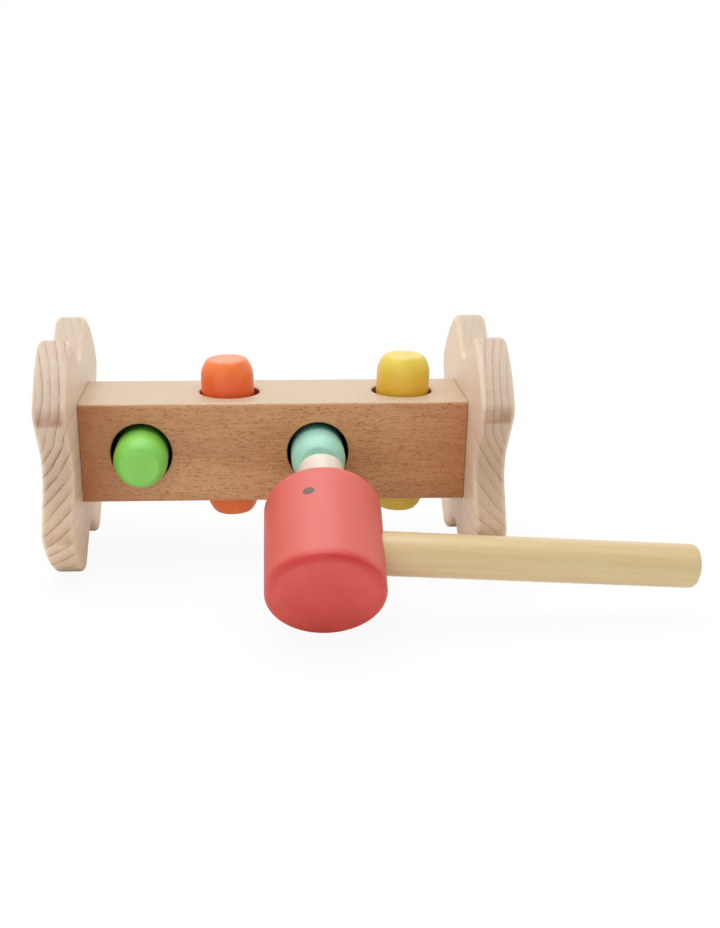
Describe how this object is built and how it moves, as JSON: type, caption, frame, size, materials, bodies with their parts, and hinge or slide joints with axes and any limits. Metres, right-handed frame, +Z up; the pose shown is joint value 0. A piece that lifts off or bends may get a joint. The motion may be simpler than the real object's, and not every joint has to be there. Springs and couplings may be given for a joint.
{
  "type": "peg pounding bench",
  "caption": "Wooden pounding toy: a drilled beam between notched end boards, coloured pegs gripped by rubber rings, and a mallet whose beak squeaks when pressed.",
  "frame": {"origin": "on the floor under the middle of the beam", "axes": "+X along the beam to the right as seen from the front, +Y from the front to the back, +Z up"},
  "size_m": [0.3005, 0.1958, 0.1156],
  "materials": {
    "beam_wood": "fine sanded and oiled beech with short dark flecks",
    "board_wood": "pale clear-lacquered wood with fine growth lines",
    "dowel_wood": "plain turned wood",
    "handle_wood": "pale clear-lacquered wood",
    "green_paint": "satin green paint on wood",
    "orange_paint": "satin orange paint on wood",
    "teal_paint": "satin pale teal paint on wood",
    "yellow_paint": "satin yellow paint on wood",
    "red_paint": "satin red paint on wood",
    "beak_cream": "cream moulded plastic, satin",
    "grip_rubber": "black rubber, matt"
  },
  "bodies": {
    "bench": {"beam": "beam_wood", "left_board": "board_wood", "right_board": "board_wood", "left_dowels": "dowel_wood", "right_dowels": "dowel_wood", "green_ring": "grip_rubber", "orange_ring": "grip_rubber", "teal_ring": "grip_rubber", "yellow_ring": "grip_rubber"},
    "green_peg": {"green_peg": "green_paint"},
    "orange_peg": {"orange_peg": "orange_paint"},
    "teal_peg": {"teal_peg": "teal_paint"},
    "yellow_peg": {"yellow_peg": "yellow_paint"},
    "mallet": {"mallet_head": "red_paint", "mallet_handle": "handle_wood", "beak_collar": "red_paint", "squeaker_bulb": "grip_rubber", "squeaker_plug": "beak_cream", "squeaker_reed": "beak_cream"},
    "beak": {"beak": "beak_cream"}
  },
  "joints": [
    {"name": "green_slide", "type": "slide", "parent": "bench", "child": "green_peg", "axis": [0, 0.9985, 0.0539], "range_m": [-0.0144, 0.015]},
    {"name": "orange_slide", "type": "slide", "parent": "bench", "child": "orange_peg", "axis": [0.0324, 0, -0.9995], "range_m": [-0.0126, 0.0168]},
    {"name": "teal_slide", "type": "slide", "parent": "bench", "child": "teal_peg", "axis": [0, 0.9985, 0.0539], "range_m": [0, 0.015]},
    {"name": "yellow_slide", "type": "slide", "parent": "bench", "child": "yellow_peg", "axis": [-0.0158, 0, -0.9999], "range_m": [-0.0114, 0.018]},
    {"name": "mallet_stroke", "type": "slide", "parent": "bench", "child": "mallet", "axis": [0, 1, 0], "range_m": [-0.04, 0.0075]},
    {"name": "beak_press", "type": "slide", "parent": "mallet", "child": "beak", "axis": [-0.0155, -0.8869, -0.4617], "range_m": [0, 0.005], "stiffness_N_per_m": 300, "springref_m": -0.003, "deforming": ["squeaker_bulb"]}
  ]
}
